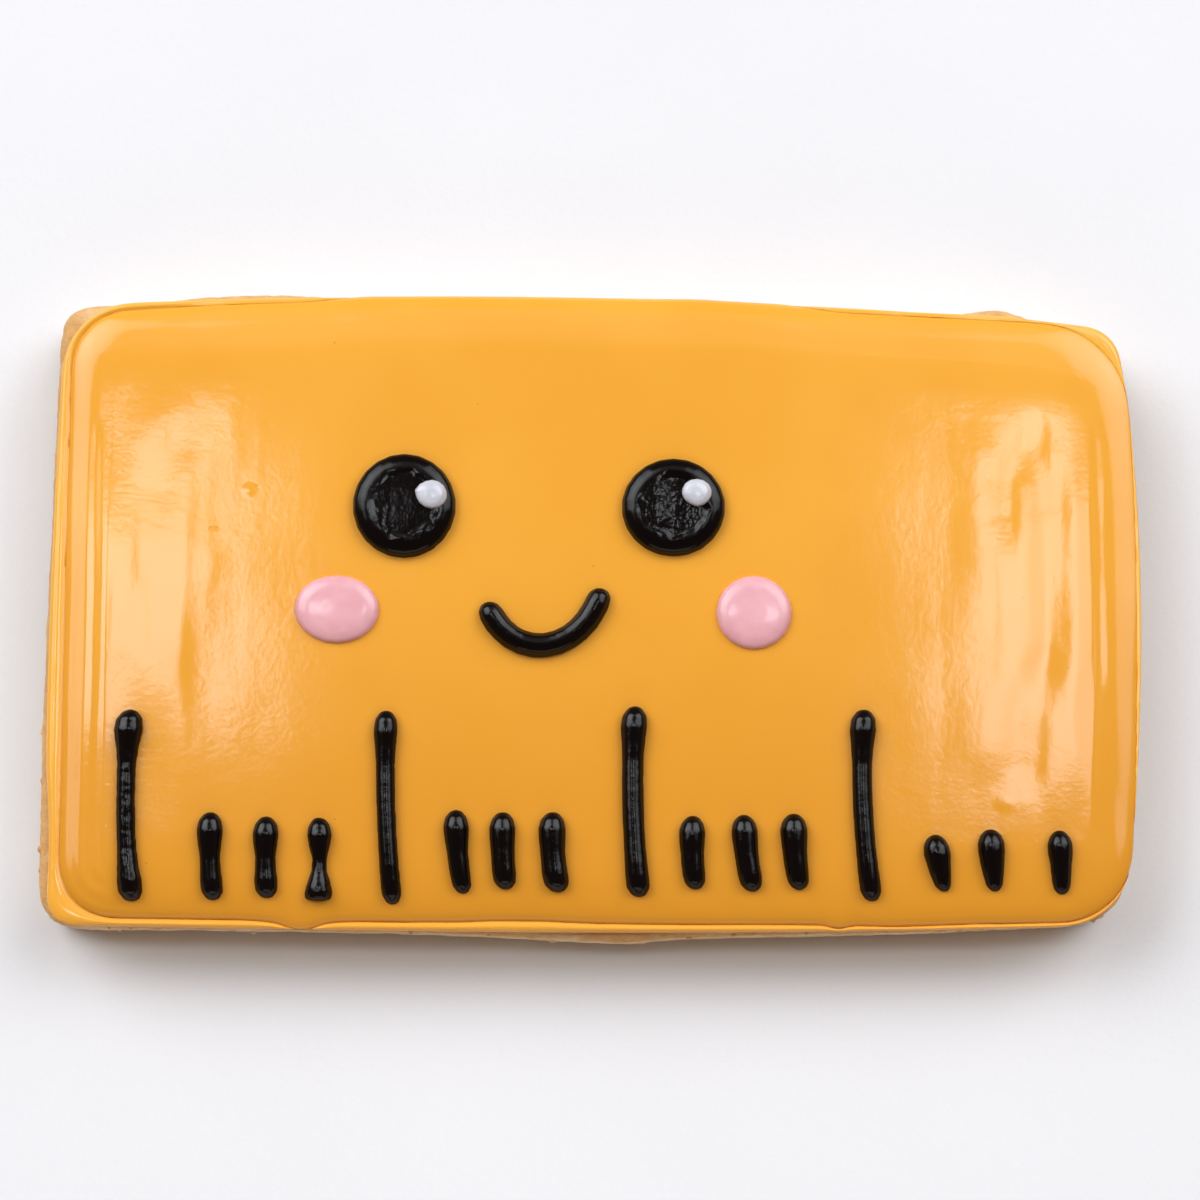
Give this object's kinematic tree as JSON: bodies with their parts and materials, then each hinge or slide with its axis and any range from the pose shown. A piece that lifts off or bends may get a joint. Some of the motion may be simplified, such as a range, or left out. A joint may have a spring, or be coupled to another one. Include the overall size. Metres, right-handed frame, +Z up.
{
  "type": "iced biscuit",
  "caption": "Rectangular sugar biscuit with a glossy yellow icing top, piped as a ruler with black measuring lines and a simple smiling face.",
  "frame": {"origin": "under the middle of the biscuit, on the surface it rests on", "axes": "+X along the ruler to the right, +Y towards the plain edge, +Z up out of the iced face"},
  "size_m": [0.1029, 0.0611, 0.011],
  "materials": {
    "biscuit": "matte baked crumb, toasted at the edges",
    "yellow_border_icing": "semi-gloss set icing",
    "yellow_flood_icing": "smooth semi-gloss set icing",
    "black_icing": "semi-gloss, slightly crinkled where thick",
    "white_icing": "semi-gloss",
    "pink_icing": "smooth semi-gloss"
  },
  "bodies": {
    "root": {"biscuit": "biscuit", "icing_border": "yellow_border_icing", "icing_flood": "yellow_flood_icing", "eye_left": "black_icing", "eye_right": "black_icing", "glint_left": "white_icing", "glint_right": "white_icing", "smile": "black_icing", "cheek_left": "pink_icing", "cheek_right": "pink_icing", "tick_long_1": "black_icing", "tick_long_2": "black_icing", "tick_long_3": "black_icing", "tick_long_4": "black_icing", "tick_short_1": "black_icing", "tick_short_2": "black_icing", "tick_short_3": "black_icing", "tick_short_4": "black_icing", "tick_short_5": "black_icing", "tick_short_6": "black_icing", "tick_short_7": "black_icing", "tick_short_8": "black_icing", "tick_short_9": "black_icing", "tick_short_10": "black_icing", "tick_short_11": "black_icing", "tick_short_12": "black_icing"}
  },
  "joints": []
}
